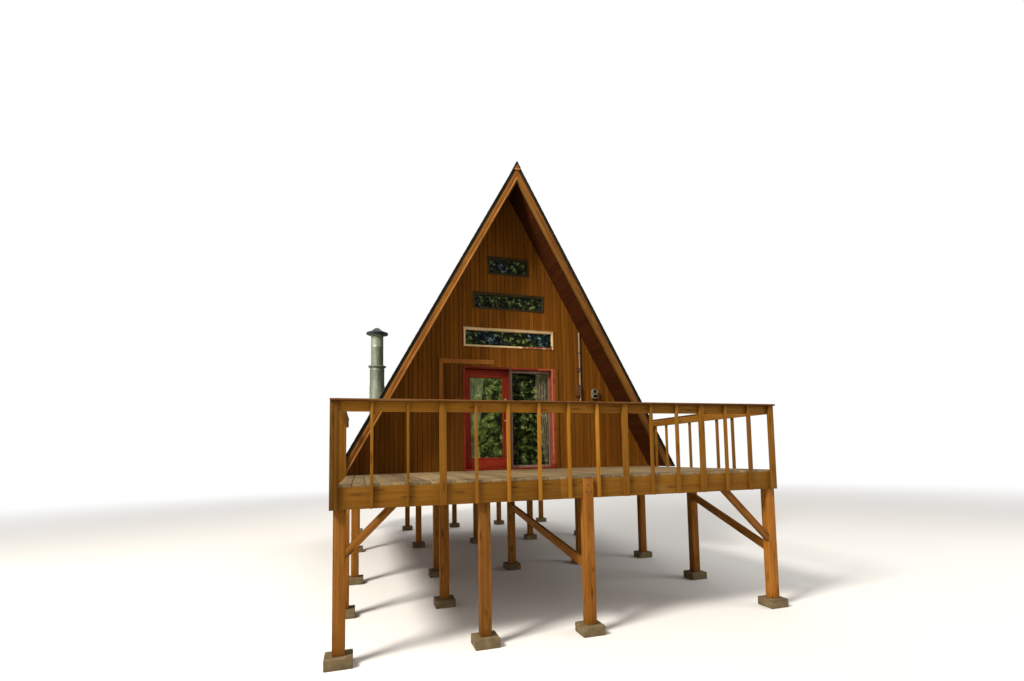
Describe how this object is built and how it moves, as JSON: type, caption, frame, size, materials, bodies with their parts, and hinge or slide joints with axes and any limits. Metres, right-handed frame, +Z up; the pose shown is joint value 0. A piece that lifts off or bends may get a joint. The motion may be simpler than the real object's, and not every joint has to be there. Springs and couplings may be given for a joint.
{
  "type": "a-frame cabin",
  "caption": "A-frame cabin on tall posts with a raised front deck, baluster rail, board gable, three gable windows, glazed entry with a hinged door and a metal flue",
  "frame": {"origin": "middle of the bounding box on the plane under the pads that the posts stand on", "axes": "+X to the right along the front wall, +Y from the deck into the cabin, +Z up"},
  "size_m": [6.7, 11.9724, 8.1231],
  "materials": {
    "rake_wood": "weathered, matt",
    "soffit": "weathered, matt",
    "siding": "stained boards, weathered",
    "deck_wood": "weathered, matt",
    "deck_grey": "weathered, matt",
    "red_paint": "painted, weathered",
    "window_dark": "weathered, matt",
    "window_pale": "weathered, matt",
    "shingle": "mineral granules, matt",
    "grey_metal": "galvanised, weathered",
    "pale_metal": "satin",
    "knob_metal": "worn satin",
    "glass": "clear",
    "concrete": "rough cast concrete",
    "curtain": "thin woven cloth"
  },
  "bodies": {
    "cabin": {"roof_left": "shingle", "roof_right": "shingle", "rafters_left": "deck_wood", "rafters_right": "deck_wood", "lining_left": "soffit", "lining_right": "soffit", "ridge_beam": "deck_wood", "ridge_cap": "shingle", "peak_block": "rake_wood", "rake_front_left": "rake_wood", "rake_front_right": "rake_wood", "rake_back_left": "rake_wood", "rake_back_right": "rake_wood", "front_wall_left": "siding", "front_wall_right": "siding", "front_wall_upper": "siding", "back_wall": "siding", "cabin_floor": "deck_wood", "floor_joists": "deck_wood", "floor_beams": "deck_wood", "upper_windows": "window_dark", "lower_window": "window_pale", "window_glass": "glass", "entry_frame": "red_paint", "side_pane_frame": "grey_metal", "side_pane_glass": "glass", "side_curtain": "curtain", "frame_hinges": "grey_metal", "entry_trim": "deck_wood", "wall_conduit": "grey_metal", "wall_light": "pale_metal", "flue_pipe": "grey_metal", "flue_cap": "grey_metal", "flue_flashing": "grey_metal", "deck_boards": "deck_grey", "deck_front_board": "deck_wood", "deck_side_boards": "deck_wood", "deck_beams": "deck_wood", "deck_joists": "deck_wood", "posts": "rake_wood", "deck_braces": "rake_wood", "pads": "concrete", "front_rail": "deck_wood", "left_rail": "deck_wood", "right_rail": "deck_wood"},
    "door": {"door_leaf": "red_paint", "door_glass": "glass", "door_curtain": "curtain", "door_knob": "knob_metal", "door_lock": "knob_metal", "leaf_hinges": "grey_metal"}
  },
  "joints": [
    {"name": "door_hinge", "type": "hinge", "parent": "cabin", "child": "door", "pos_m": [-0.935, -1.59445, 3], "axis": [0, 0, 1], "range_deg": [0, 100]}
  ]
}
